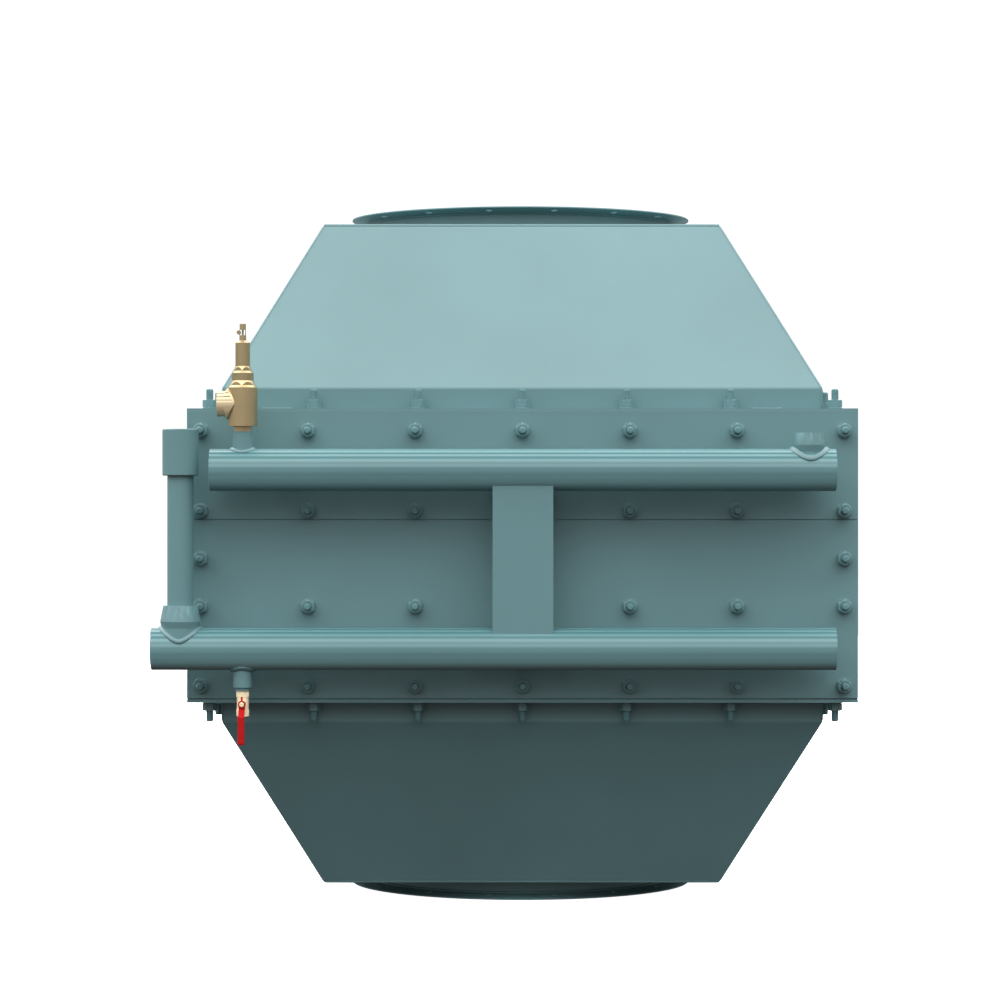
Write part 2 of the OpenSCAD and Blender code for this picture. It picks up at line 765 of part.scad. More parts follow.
// Strap that hangs from the hub and is cranked forward, from its side outline:
// distance to the front, then height
crank_top = 10;
crank_h = 16;
module strap(w, bottom) {
    near = lever_offset;
    crank_end = crank_top + crank_h;
    translate([w / 2, hub_y, 0]) rotate([90, 0, -90]) linear_extrude(w) polygon([
        [0, 0], [0, -crank_top], [near, -crank_end], [near, -bottom],
        [near + lever_t, -bottom], [near + lever_t, -crank_end], [lever_t, -crank_top], [lever_t, 0]
    ]);
}

// Dipped grip with rounded edges, between two distances below the stem
grip_r = 2;
module grip(w, top, bottom) {
    translate([0, hub_y - lever_t / 2, -bottom]) linear_extrude(bottom - top) hull()
        for (x = [-1, 1]) for (y = [-1, 1])
            translate([x * (w / 2 - grip_r), y * (grip_t / 2 - grip_r)]) circle(r = grip_r, $fn = 24);
}

// Lever: a flat hub with a stop tab, the strap, and the grip round the strap's
// narrower tongue
grip_top = 26;
tip_len = 3;
tab_w = 4;
tab_h = 16;
module drain_lever() {
    tongue_w = lever_w - 4;
    color(red) translate([drain_x, header_y, drain_top_z - stem_h]) difference() {
        union() {
            translate([0, hub_y, 0]) forward(lever_w + 2.5, lever_t);
            translate([-tab_w / 2, hub_y - lever_t, 0]) cube([tab_w, lever_t, tab_h]);
            strap(lever_w - 1, grip_top + 5);
            translate([-tongue_w / 2, hub_y - lever_offset - lever_t, -lever_len])
                cube([tongue_w, lever_t, lever_len - grip_top]);
            translate([0, -lever_offset, 0]) grip(lever_w, grip_top, lever_len - tip_len);
        }
        translate([0, hub_y + cut, 0]) forward(stem_d + 2 * weld_gap, lever_t + 2 * cut);
    }
}

// ---------------------------------------------------------------- assembly

ring();  // lower_ring
collar();  // lower_collar
end_plate();  // lower_end_plate
hood_plate(180);  // lower_hood_front
hood_plate(0);  // lower_hood_rear
hood_sides();  // lower_hood_sides
hood_flange();  // lower_flange
at_top() ring();  // upper_ring
at_top() collar();  // upper_collar
at_top() end_plate();  // upper_end_plate
at_top() hood_plate(180);  // upper_hood_front
at_top() hood_plate(0);  // upper_hood_rear
at_top() hood_sides();  // upper_hood_sides
at_top() hood_flange();  // upper_flange
side_walls();
side_flanges();
tubesheet();  // front_tubesheet
rotate([0, 0, 180]) tubesheet();  // rear_tubesheet
return_box();  // front_box
rotate([0, 0, 180]) return_box();  // rear_box
upper_cover(upper_z);  // front_upper_cover
lower_cover(lower_z);  // front_lower_cover
rotate([0, 0, 180]) upper_cover();  // rear_upper_cover
rotate([0, 0, 180]) lower_cover();  // rear_lower_cover
cover_studs();  // front_cover_studs
rotate([0, 0, 180]) cover_studs();  // rear_cover_studs
tube_rows(0, 0);  // tubes_bottom_row
tube_rows(1, row_count - 2);  // tubes_middle_rows
tube_rows(row_count - 1, row_count - 1);  // tubes_top_row
upper_header();
lower_header();
header_caps();
stubs(upper_z);  // upper_stubs
stubs(lower_z);  // lower_stubs
post_upper();
post_lower();
inlet_fitting();
riser_pipe();
riser_coupling();
outlet_fitting();
relief_coupling();
relief_body();
relief_bonnet();
drain_coupling();
drain_nipple();
drain_valve();
drain_stem();
drain_lever();
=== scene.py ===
"""Rectangular flue gas economizer: paint, bolting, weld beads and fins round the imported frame.

Metres. The origin is the centre of the lower flue ring's face, +Z is up and -Y is
the front with the two water headers.
"""

import json
from math import cos, pi, radians, sin, sqrt

import bmesh
import bpy
from mathutils import Matrix, Vector


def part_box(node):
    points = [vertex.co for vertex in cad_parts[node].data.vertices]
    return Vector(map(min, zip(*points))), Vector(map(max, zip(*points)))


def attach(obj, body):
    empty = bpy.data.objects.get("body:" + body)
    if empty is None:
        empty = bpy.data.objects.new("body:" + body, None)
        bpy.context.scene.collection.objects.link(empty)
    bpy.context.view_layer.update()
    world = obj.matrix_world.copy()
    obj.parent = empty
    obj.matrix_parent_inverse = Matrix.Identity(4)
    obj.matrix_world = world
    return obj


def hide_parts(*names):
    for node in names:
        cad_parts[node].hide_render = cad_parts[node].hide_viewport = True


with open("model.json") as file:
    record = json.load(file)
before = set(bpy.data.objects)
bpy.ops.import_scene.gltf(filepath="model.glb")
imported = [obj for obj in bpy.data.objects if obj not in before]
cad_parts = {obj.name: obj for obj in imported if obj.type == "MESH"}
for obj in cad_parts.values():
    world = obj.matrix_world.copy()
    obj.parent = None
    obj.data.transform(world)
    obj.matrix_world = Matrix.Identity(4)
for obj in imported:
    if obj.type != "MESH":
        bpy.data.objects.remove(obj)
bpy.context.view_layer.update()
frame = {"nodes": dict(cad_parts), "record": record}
nodes = frame["nodes"]
scene = bpy.context.scene

# ---------------------------------------------------------------- places, read from the frame

UP = Vector((0, 0, 1))
DOWN = Vector((0, 0, -1))
REARWARD = Vector((0, 1, 0))

upper_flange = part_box("upper_flange")
lower_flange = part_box("lower_flange")
rim = upper_flange[1].x
flange_top = upper_flange[1].z
flange_bottom = lower_flange[0].z
mid_height = (flange_top + flange_bottom) / 2
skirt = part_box("side_walls")[1].x
upper_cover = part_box("front_upper_cover")
lower_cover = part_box("front_lower_cover")
cover_face = -upper_cover[0].y
tube_columns = 18


class Pipe:
    """A pipe along X: the place of its axis in Y and Z, and its radius."""

    def __init__(self, y, z, radius):
        self.y = y
        self.z = z
        self.radius = radius


def pipe_of(node):
    """The pipe that a level round node makes."""
    low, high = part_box(node)
    return Pipe((low.y + high.y) / 2, (low.z + high.z) / 2, (high.y - low.y) / 2)


upper_header = pipe_of("upper_header")
lower_header = pipe_of("lower_header")


def upright_axis(node):
    """Place in plan of a round upright node."""
    low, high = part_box(node)
    return (low.x + high.x) / 2, (low.y + high.y) / 2


def mount_named(name):
    """One of the record's mounts."""
    return next(mount for mount in frame["record"]["mounts"] if mount["name"] == name)


def spread(first, last, count):
    """Evenly spaced places from the first to the last."""
    return [first + (last - first) * i / (count - 1) for i in range(count)]


# ---------------------------------------------------------------- node trees

def feed(tree, socket, value):
    """Links a value into a socket, or sets the socket to a constant."""
    if isinstance(value, bpy.types.NodeSocket):
        tree.links.new(value, socket)
    else:
        socket.default_value = value


def add(tree, kind, values=None, **settings):
    """A node of this kind with its settings and input values; gives its outputs."""
    node = tree.nodes.new(kind)
    for name, value in settings.items():
        setattr(node, name, value)
    for name, value in (values or {}).items():
        feed(tree, node.inputs[name], value)
    return node.outputs


def maths(tree, operation, first, second=0.0):
    """Result of a maths node."""
    return add(tree, "ShaderNodeMath", {0: first, 1: second}, operation=operation)[0]


def product(tree, first, *others):
    """Product of several values."""
    for other in others:
        first = maths(tree, "MULTIPLY", first, other)
    return first


def total(tree, first, *others):
    """Sum of several values."""
    for other in others:
        first = maths(tree, "ADD", first, other)
    return first


def between(tree, value, low, high, to_low=0.0, to_high=1.0):
    """A value brought from one range to another and held inside it."""
    return add(tree, "ShaderNodeMapRange", {"Value": value, "From Min": low, "From Max": high,
                                            "To Min": to_low, "To Max": to_high}, clamp=True)["Result"]


def blend_colours(tree, share, first, second):
    """Colour between two colours, by a share from 0 to 1."""
    return add(tree, "ShaderNodeMix", {0: share, 6: first, 7: second}, data_type="RGBA")[2]


def object_place(tree):
    """The object's own coordinates."""
    return add(tree, "ShaderNodeTexCoord")["Object"]


def split(tree, vector):
    """The X, Y and Z of a vector."""
    return add(tree, "ShaderNodeSeparateXYZ", {"Vector": vector})


def noise(tree, place, scale, detail=3.0, roughness=0.5, distortion=0.0):
    """Soft noise, from 0 to 1."""
    return add(tree, "ShaderNodeTexNoise", {"Vector": place, "Scale": scale, "Detail": detail,
                                            "Roughness": roughness, "Distortion": distortion})["Fac"]


def new_group(name, inputs, outputs):
    """An empty shader node group: its tree, what it is given and where its results go."""
    tree = bpy.data.node_groups.new(name, "ShaderNodeTree")
    for socket, default in inputs.items():
        given = tree.interface.new_socket(name=socket, in_out="INPUT", socket_type="NodeSocketFloat")
        given.default_value = default
    for socket in outputs:
        tree.interface.new_socket(name=socket, in_out="OUTPUT", socket_type="NodeSocketFloat")
    return tree, tree.nodes.new("NodeGroupInput").outputs, tree.nodes.new("NodeGroupOutput").inputs


def place_group(tree, group, values):
    """A group placed in a material with its own values; gives its outputs."""
    return add(tree, "ShaderNodeGroup", values, node_tree=group)


# ---------------------------------------------------------------- shared effects

def build_edge_wear():
    """Mask along outer edges, broken up by noise."""
    tree, given, result = new_group("edge_wear", {"Width": 0.003, "Breakup": 60.0, "Amount": 1.0}, ["Mask"])
    rounded = add(tree, "ShaderNodeBevel", {"Radius": given["Width"]}, samples=6)["Normal"]
    flat = add(tree, "ShaderNodeNewGeometry")["Normal"]
    agreement = add(tree, "ShaderNodeVectorMath", {0: rounded, 1: flat}, operation="DOT_PRODUCT")["Value"]
    edge = between(tree, agreement, 0.985, 0.78)
    patches = between(tree, noise(tree, object_place(tree), given["Breakup"]), 0.2, 0.8, 0.35, 1.0)
    feed(tree, result["Mask"], product(tree, edge, patches, given["Amount"]))
    return tree


def build_orange_peel():
    """Height of the fine ripple and the few nibs that a sprayed coat dries with."""
    tree, given, result = new_group("orange_peel", {"Scale": 220.0, "Nibs": 0.3}, ["Height"])
    place = object_place(tree)
    ripple = noise(tree, place, given["Scale"], 2.0)
    slow = noise(tree, place, product(tree, given["Scale"], 0.04), 2.0)
    specks = add(tree, "ShaderNodeTexVoronoi", {"Vector": place, "Scale": product(tree, given["Scale"], 0.7)})
    nibs = product(tree, between(tree, specks["Distance"], 0.12, 0.02), given["Nibs"])
    feed(tree, result["Height"], total(tree, ripple, product(tree, slow, 2.0), nibs))
    return tree


def build_dust():
    """Mask of the dust that settles on upward faces."""
    tree, given, result = new_group("dust", {"Amount": 0.3, "Scale": 9.0}, ["Mask"])
    normal = add(tree, "ShaderNodeNewGeometry")["Normal"]
    upward = between(tree, split(tree, normal)["Z"], 0.2, 1.0)
    cloud = between(tree, noise(tree, object_place(tree), given["Scale"], 4.0), 0.2, 0.8, 0.1, 1.0)
    feed(tree, result["Mask"], product(tree, upward, cloud, given["Amount"]))
    return tree


def build_grain():
    """Fine turning or drawing marks, stretched along one axis."""
    tree, given, result = new_group("grain", {"Along": 8.0, "Across": 900.0}, ["Marks"])
    parts = split(tree, object_place(tree))
    stretched = add(tree, "ShaderNodeCombineXYZ", {"X": product(tree, parts["X"], given["Along"]),
                                                   "Y": product(tree, parts["Y"], given["Along"]),
                                                   "Z": product(tree, parts["Z"], given["Across"])})["Vector"]
    feed(tree, result["Marks"], noise(tree, stretched, 1.0, 2.0, 0.6))
    return tree


def build_rolled_flats():
    """Shallow flats that rolling leaves along a level pipe, strongest on its upper side.

    Gives their height, a mask of painted shade in their valleys on the upper side and a mask of painted light
    on the pipe's low side; flat pipe ends stay plain.
    """
    tree, given, result = new_group("rolled_flats",
                                    {"Axis Y": 0.0, "Axis Z": 0.0, "Radius": 0.04, "Flats": 22.0},
                                    ["Height", "Valley shade", "Low side light"])
    parts = split(tree, object_place(tree))
    across = maths(tree, "SUBTRACT", given["Axis Y"], parts["Y"])
    rise = maths(tree, "SUBTRACT", parts["Z"], given["Axis Z"])
    share_across = maths(tree, "DIVIDE", across, given["Radius"])
    share_up = maths(tree, "DIVIDE", rise, given["Radius"])
    reach = total(tree, product(tree, share_up, share_up), product(tree, share_across, share_across))
    outside = between(tree, reach, 0.70, 0.90)

    first_flat = radians(27)
    angle = maths(tree, "SUBTRACT", maths(tree, "ARCTAN2", rise, across), first_flat)
    turn = product(tree, angle, given["Flats"])
    pressed = between(tree, share_up, -0.10, 0.45, 0.08, 1.0)
    # A painted shade: the paint darkens in the valleys between the flats on the upper side
    valleys = between(tree, maths(tree, "COSINE", turn), 0.8, -0.8)
    upper_side = between(tree, share_up, 0.38, 0.5)
    # A painted light: the paint is paler on the pipe's low side
    low_side_light = product(tree, between(tree, share_up, -0.2, -0.6), between(tree, share_up, -0.98, -0.75))
    feed(tree, result["Height"], product(tree, maths(tree, "SINE", turn), pressed, outside, -1.0))
    feed(tree, result["Valley shade"], product(tree, valleys, upper_side, outside))
    feed(tree, result["Low side light"], product(tree, low_side_light, outside))
    return tree


edge_wear = build_edge_wear()
orange_peel = build_orange_peel()
dust = build_dust()
grain = build_grain()
rolled_flats = build_rolled_flats()

# ---------------------------------------------------------------- materials

# Depths of the surface's small relief; every bump that adds them counts in bump_unit
bump_unit = 0.001
peel_depth = 0.00002
flat_depth = 0.00032
draw_depth = 0.003
turning_depth = 0.000024

header_flats = 22.0
fin_pitch = 0.0102

# The relief valve's side outlet, and the tip and slope of the bevelled edge of its boss
relief_port = mount_named("relief_outlet")["pos_m"]
outlet_radius = 0.027
outlet_flats = 19.0
relief_outlet = Pipe(relief_port[1], relief_port[2], outlet_radius)
boss_from_axis = 0.0155
boss_tip = upright_axis("relief_coupling")[0] - boss_from_axis
boss_slope = 1.75

settled_dust = (0.62, 0.62, 0.58, 1.0)
bank_dust = (0.34, 0.33, 0.31, 1.0)
# Dark colour painted into the valleys of the headers' flats as shade
valley_shade_paint = (0.01, 0.11, 0.12, 1.0)
outlet_skin = (0.70, 0.57, 0.36, 1.0)
# Dark colour painted along the side outlet's flats as shade
outlet_flat_shade = (0.16, 0.13, 0.07, 1.0)
scale_dark = (0.16, 0.165, 0.17, 1.0)
scale_pale = (0.30, 0.31, 0.32, 1.0)
rust_bloom = (0.20, 0.11, 0.07, 1.0)
worn_grip = (0.70, 0.08, 0.06, 1.0)
floor_dark = (0.80, 0.80, 0.80, 1.0)
floor_pale = (0.84, 0.84, 0.84, 1.0)


def tint(colour, factor=1.0, lift=0.0):
    """An opaque colour, scaled and lifted."""
    return tuple(min(channel * factor + lift, 1.0) for channel in colour[:3]) + (1.0,)


def new_material(name):
    """A material with an empty Principled shader: the material, its tree and the shader's inputs."""
    material = bpy.data.materials.new(name)
    material.use_nodes = True
    tree = material.node_tree
    return material, tree, tree.nodes["Principled BSDF"].inputs


def bump(tree, shader, height, strength=1.0, distance=bump_unit):
    """Feeds a height into the shader's normal."""
    raised = add(tree, "ShaderNodeBump", {"Height": height, "Strength": strength, "Distance": distance})
    feed(tree, shader["Normal"], raised["Normal"])


def flats_of(tree, pipe, axis_level, count):
    """The rolled flats of a pipe whose axis is at this level."""
    return place_group(tree, rolled_flats, {"Axis Y": pipe.y, "Axis Z": axis_level, "Radius": pipe.radius,
                                            "Flats": count})


def show_rolled_pipes(tree, pipes, level, colour, base, height):
    """Colour and height with the flats of two pipes, one over the other, with painted shade in the flats'
    valleys and painted light low on them.
    """
    low, high = pipes
    halfway = (low.z + high.z) / 2
    axis_level = between(tree, level, halfway - 0.001, halfway + 0.001, low.z, high.z)
    flats = flats_of(tree, low, axis_level, header_flats)
    # Painted shade in the valleys of the flats, then painted light on the pipes' low side
    base = blend_colours(tree, product(tree, flats["Valley shade"], 0.75), base, valley_shade_paint)
    base = blend_colours(tree, flats["Low side light"], base, tint(colour, 1.7))
    return base, total(tree, height, product(tree, flats["Height"], flat_depth / bump_unit))


def show_draw_marks_and_highlights(tree, levels, level, colour, base, height):
    """Colour and height with the upright draw marks of a forging, which deepen between two levels; the marks
    are also painted paler there as highlight streaks.
    """
    marks = place_group(tree, grain, {"Along": 130.0, "Across": 5.0})["Marks"]
    drawn = between(tree, level, *levels)
    # Painted highlight: the draw marks are painted paler as streaks of light on the taper
    pale = product(tree, between(tree, marks, 0.45, 0.62), drawn, 0.7)
    base = blend_colours(tree, pale, base, tint(colour, 1.9))
    return base, total(tree, height, product(tree, marks, drawn, draw_depth / bump_unit))


def paint(name, colour, roughness, drift=0.03, wear=0.15, edge=0.0025, specular=0.5, coat=0.15,
          pipes=None, forged=None):
    """Sprayed satin enamel: slow colour drift, paler edges, settled dust and orange peel.

    On a pair of pipes the rolled flats show through, with painted shade in their valleys and painted light
    low on the pipes; on a forging its draw marks show, painted paler as highlight streaks.
    """
    material, tree, shader = new_material(name)
    place = object_place(tree)
    level = split(tree, place)["Z"]
    cloud = between(tree, noise(tree, place, 2.2, 4.0, 0.55), 0.3, 0.7)
    base = blend_colours(tree, cloud, tint(colour, 1 - 2 * drift), tint(colour, 1 + drift))
    worn = place_group(tree, edge_wear, {"Width": edge, "Breakup": 45.0, "Amount": wear})["Mask"]
    base = blend_colours(tree, worn, base, tint(colour, 1.7, lift=0.04))
    settled = place_group(tree, dust, {"Amount": 0.03, "Scale": 7.0})["Mask"]
    base = blend_colours(tree, settled, base, settled_dust)
    peel = place_group(tree, orange_peel, {"Scale": 240.0, "Nibs": 0.05})["Height"]
    height = product(tree, peel, peel_depth / bump_unit)
    if pipes:
        base, height = show_rolled_pipes(tree, pipes, level, colour, base, height)
    if forged:
        base, height = show_draw_marks_and_highlights(tree, forged, level, colour, base, height)
    feed(tree, shader["Base Color"], base)
    bump(tree, shader, height)
    gloss = between(tree, noise(tree, place, 7.0, 3.0), 0.2, 0.8, roughness - 0.03, roughness + 0.04)
    feed(tree, shader["Roughness"], total(tree, gloss, product(tree, settled, 0.5)))
    shader["Coat Roughness"].default_value = 0.12
    shader["Coat Weight"].default_value = coat
    shader["Specular IOR Level"].default_value = specular
    return material


def show_side_outlet(tree, outlet, base, height):
    """Colour, height and mask of a level side outlet in pale drawn bar, with dark lines of painted shade
    along its flats.
    """
    parts = split(tree, object_place(tree))
    beside = maths(tree, "ABSOLUTE", maths(tree, "SUBTRACT", parts["Z"], outlet.z))
    reach = product(tree, maths(tree, "SUBTRACT", boss_tip, parts["X"]), boss_slope)
    on_outlet = between(tree, maths(tree, "SUBTRACT", reach, beside), 0.0, 0.0008)
    flats = flats_of(tree, outlet, outlet.z, outlet_flats)["Height"]
    # Painted shade: dark lines along the outlet's flats
    lines = product(tree, between(tree, flats, -0.35, -0.75), on_outlet, 0.9)
    base = blend_colours(tree, on_outlet, base, outlet_skin)
    base = blend_colours(tree, lines, base, outlet_flat_shade)
    height = total(tree, height, product(tree, flats, on_outlet, flat_depth / bump_unit))
    return base, height, on_outlet


def cast_metal(name, colour, dark, across, metallic, outlet=None):
    """Machined bronze or brass: turning marks, soft tarnish and bright edges; a side outlet stays pale."""
    material, tree, shader = new_material(name)
    place = object_place(tree)
    marks = place_group(tree, grain, {"Along": 6.0, "Across": across})["Marks"]
    tarnish = between(tree, noise(tree, place, 22.0, 3.0), 0.2, 0.8)
    base = blend_colours(tree, product(tree, tarnish, 0.55), tint(colour), tint(dark))
    base = blend_colours(tree, between(tree, marks, 0.35, 0.65, 0.0, 0.25), base, tint(dark))
    worn = place_group(tree, edge_wear, {"Width": 0.0012, "Breakup": 160.0, "Amount": 0.6})["Mask"]
    base = blend_colours(tree, worn, base, tint(colour, 1.25, lift=0.05))
    height = product(tree, marks, turning_depth / bump_unit)
    shader["Metallic"].default_value = metallic
    if outlet:
        base, height, on_outlet = show_side_outlet(tree, outlet, base, height)
        feed(tree, shader["Metallic"], between(tree, on_outlet, 0.0, 1.0, metallic, 0.25))
    feed(tree, shader["Base Color"], base)
    feed(tree, shader["Roughness"], between(tree, tarnish, 0.0, 1.0, 0.30, 0.42))
    bump(tree, shader, height)
    return material


def mill_steel(name, ribbed):
    """Dull carbon steel of the tubes and fins, with mill scale and a little rust bloom."""
    material, tree, shader = new_material(name)
    place = object_place(tree)
    scale = between(tree, noise(tree, place, 26.0, 6.0, 0.65), 0.35, 0.7)
    rust = between(tree, noise(tree, place, 9.0, 5.0, 0.6, 0.4), 0.55, 0.75, 0.0, 0.45)
    base = blend_colours(tree, scale, scale_dark, scale_pale)
    base = blend_colours(tree, rust, base, rust_bloom)
    settled = place_group(tree, dust, {"Amount": 0.25, "Scale": 12.0})["Mask"]
    base = blend_colours(tree, settled, base, bank_dust)
    feed(tree, shader["Base Color"], base)
    feed(tree, shader["Roughness"], between(tree, scale, 0.0, 1.0, 0.42, 0.60))
    feed(tree, shader["Metallic"], maths(tree, "SUBTRACT", 0.85, rust))
    height = noise(tree, place, 420.0, 3.0)
    if ribbed:
        fins = add(tree, "ShaderNodeTexWave",
                   {"Vector": place, "Scale": 1 / (fin_pitch * 10), "Distortion": 0.0},
                   wave_type="BANDS", bands_direction="Y", wave_profile="SIN")["Fac"]
        height = total(tree, product(tree, between(tree, fins, 0.55, 0.8), 8.0), height)
        bump(tree, shader, height, strength=0.5, distance=0.002)
    else:
        bump(tree, shader, height, strength=0.15, distance=0.0003)
    return material


def dipped_vinyl(name, colour):
    """Red dip coating of the lever's grip: soft sheen, a slightly uneven skin."""
    material, tree, shader = new_material(name)
    cloud = between(tree, noise(tree, object_place(tree), 90.0, 4.0), 0.3, 0.7)
    base = blend_colours(tree, cloud, tint(colour), tint(colour, 1.12))
    worn = place_group(tree, edge_wear, {"Width": 0.0008, "Breakup": 200.0, "Amount": 0.12})["Mask"]
    feed(tree, shader["Base Color"], blend_colours(tree, worn, base, worn_grip))
    feed(tree, shader["Roughness"], between(tree, cloud, 0.0, 1.0, 0.42, 0.52))
    shader["Specular IOR Level"].default_value = 0.2
    peel = place_group(tree, orange_peel, {"Scale": 700.0, "Nibs": 0.4})["Height"]
    bump(tree, shader, peel, strength=0.12, distance=0.0003)
    return material


def studio_floor(name):
    """Pale matt floor, lit evenly from within so that it takes no shadow."""
    material, tree, shader = new_material(name)
    cloud = noise(tree, object_place(tree), 1.5)
    feed(tree, shader["Base Color"], blend_colours(tree, cloud, floor_dark, floor_pale))
    shader["Roughness"].default_value = 0.9
    shader["Emission Color"].default_value = (1.0, 1.0, 1.0, 1.0)
    shader["Emission Strength"].default_value = 1.0
    return material


teal = (0.1155, 0.231, 0.246)
finishes = {
    "casing_paint": paint("casing_paint_finish", teal, 0.42, drift=0.05),
    "piping_paint": paint("piping_paint_finish", teal, 0.34),
    "tube_steel": mill_steel("tube_steel_finish", ribbed=True),
    "bronze": cast_metal("bronze_finish", (0.46, 0.37, 0.215), (0.38, 0.31, 0.165), across=1400.0,
                         metallic=0.9),
    "valve_brass": cast_metal("valve_brass_finish", (1.0, 0.85, 0.58), (0.90, 0.73, 0.47), across=900.0,
                              metallic=0.0),
    "lever_red": dipped_vinyl("lever_red_finish", (0.40, 0.004, 0.004)),
}
# The headers' paint carries painted shade in the valleys of their rolled flats and painted light on their low
# side
header_paint = paint("header_finish", teal, 0.33, wear=0.10, specular=0.35, coat=0.06,
                     pipes=(lower_header, upper_header))
# The relief body's side outlet carries painted shade lines along its flats
relief_bronze = cast_metal("relief_body_finish", (0.53, 0.415, 0.235), (0.44, 0.34, 0.18), across=1400.0,
                           metallic=0.9, outlet=relief_outlet)
stud_paint = paint("stud_finish", teal, 0.46, wear=0.05, edge=0.0005, specular=0.1, coat=0.0)
# Bolting paint: its paler nut and washer edges are partly wear and partly painted highlights
bolting_wear_and_highlight_paint = paint("bolting_paint_finish", teal, 0.33, drift=0.06, wear=0.40, edge=0.0009)
weld_paint = paint("weld_paint_finish", tint(teal, 0.88), 0.36, edge=0.001)
fin_steel = mill_steel("fin_steel_finish", ribbed=False)

# ---------------------------------------------------------------- making pieces

# Edges bent more sharply than these stay sharp on turned forms, nuts and weld beads
turned_crease = radians(32)
nut_crease = radians(18)
bead_crease = radians(75)


def finish_piece(name, mesh_form, material, body="casing", stands_for=(), crease=turned_crease):
    """Turns a bmesh into a named piece that rides on its body."""
    bmesh.ops.remove_doubles(mesh_form, verts=mesh_form.verts, dist=1e-7)
    bmesh.ops.recalc_face_normals(mesh_form, faces=mesh_form.faces)
    mesh = bpy.data.meshes.new(name)
    mesh_form.to_mesh(mesh)
    mesh_form.free()
    mesh.materials.append(material)
    mesh.polygons.foreach_set("use_smooth", [True] * len(mesh.polygons))
    mesh.set_sharp_from_angle(angle=crease)
    piece = bpy.data.objects.new(name, mesh)
    scene.collection.objects.link(piece)
    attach(piece, body)
    if stands_for:
        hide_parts(*stands_for)
    return piece


def facing(x, y, z, direction):
    """Placement with local Z along a direction."""
    return Matrix.Translation((x, y, z)) @ Vector(direction).to_track_quat("Z", "Y").to_matrix().to_4x4()


def skin(form, first, second):
    """Faces between two rings, either of which may be a single point."""
    count = max(len(first), len(second))
    for i in range(count):
        j = (i + 1) % count
        corners = []
        for ring, index in ((first, i), (first, j), (second, j), (second, i)):
            vert = ring[index % len(ring)]
            if vert not in corners:
                corners.append(vert)
        if len(corners) > 2:
            form.faces.new(corners)


def turned(form, place, profile, sides=28, closed=False):
    """Turned form round the local Z axis, from (radius, height) pairs."""
    rings = []
    for radius, height in profile:
        count = 1 if radius == 0 else sides
        rings.append([form.verts.new(place @ Vector((radius * cos(2 * pi * i / sides),
                                                     radius * sin(2 * pi * i / sides), height)))
                      for i in range(count)])
    for first, second in zip(rings, rings[1:] + (rings[:1] if closed else [])):
        skin(form, first, second)


def thread(form, place, crest, root, pitch, start, end, sides=16):
    """Screw thread between two heights, as a helical surface that runs out at its ends."""
    rows = 2 * (int((end - start) / pitch) + 4)
    grid = []
    for row in range(rows):
        line = []
        for i in range(sides):
            height = start + (row / 2 - 1 + i / sides) * pitch
            radius = crest if row % 2 and start < height < end else root
            height = min(max(height, start), end)
            angle = 2 * pi * i / sides
            line.append(form.verts.new(place @ Vector((radius * cos(angle), radius * sin(angle), height))))
        grid.append(line)
    for row in range(rows - 3):
        for i in range(sides):
            rise, j = (2, 0) if i == sides - 1 else (0, i + 1)
            form.faces.new((grid[row][i], grid[row + rise][j], grid[row + rise + 1][j], grid[row + 1][i]))


nut_sides = 36
nut_face_share = 0.97
corner_drop = 0.55
bore_chamfer = 0.12


def hex_nut(form, place, across_flats, bore, base, top):
    """Hexagon nut between two heights, its corners turned off and 30 degrees from local X."""
    face = across_flats / 2 * nut_face_share
    outline = []
    for i in range(nut_sides):
        angle = 2 * pi * i / nut_sides
        from_flat = (angle + pi / 6) % (pi / 3) - pi / 6
        radius = across_flats / 2 / cos(from_flat)
        outline.append((angle, radius, max(0.0, radius - face) * corner_drop))

    def corner(angle, radius, height):
        return form.verts.new(place @ Vector((radius * cos(angle), radius * sin(angle), height)))

    def circle(radius, height):
        return [corner(angle, radius, height) for angle, _, _ in outline]

    def hexagon(height, side):
        return [corner(angle, radius, height - side * drop) for angle, radius, drop in outline]

    rings = [circle(bore, base), circle(face, base), hexagon(base, -1), hexagon(top, 1), circle(face, top),
             circle(bore * (1 + bore_chamfer), top), circle(bore, top - bore * bore_chamfer)]
    for first, second in zip(rings, rings[1:]):
        skin(form, first, second)


def flattened(share):
    """A sine or cosine pulled outwards, which squares an oval up a little."""
    return share / max(abs(share), 0.05) ** 0.35


def bead(form, points, outward, half_width, rise, closed=False, sides=10, ripple=0.10, per_ripple=3):
    """Weld bead along points: an oval run with the ripples of the arc, raised along outward."""
    count = len(points)
    end_share = 0.35
    rings = []
    for i, point in enumerate(points):
        ahead = points[(i + 1) % count] if closed or i + 1 < count else point
        behind = points[i - 1] if closed or i else point
        along = (ahead - behind).normalized()
        up = (outward[i] - along * outward[i].dot(along)).normalized()
        across = along.cross(up)
        swell = 1 + ripple * (0.5 - abs((i % per_ripple) / per_ripple - 0.5) * 2)
        if not closed and i in (0, count - 1):
            swell = end_share
        ring = []
        for k in range(sides):
            angle = 2 * pi * k / sides
            offset = rise * flattened(cos(angle)) * up + half_width * flattened(sin(angle)) * across
            ring.append(form.verts.new(point + swell * offset))
        rings.append(ring)
    for first, second in zip(rings, rings[1:] + (rings[:1] if closed else [])):
        skin(form, first, second)
    if not closed:
        form.faces.new(rings[0])
        form.faces.new(rings[-1])


# ---------------------------------------------------------------- bolting

stud_radius = 0.0159 / 2
stud_pitch = 0.00231
stud_reach = 0.0426
thread_depth = 0.0007
# How far the thread runs down inside the nut
thread_overlap = 0.002
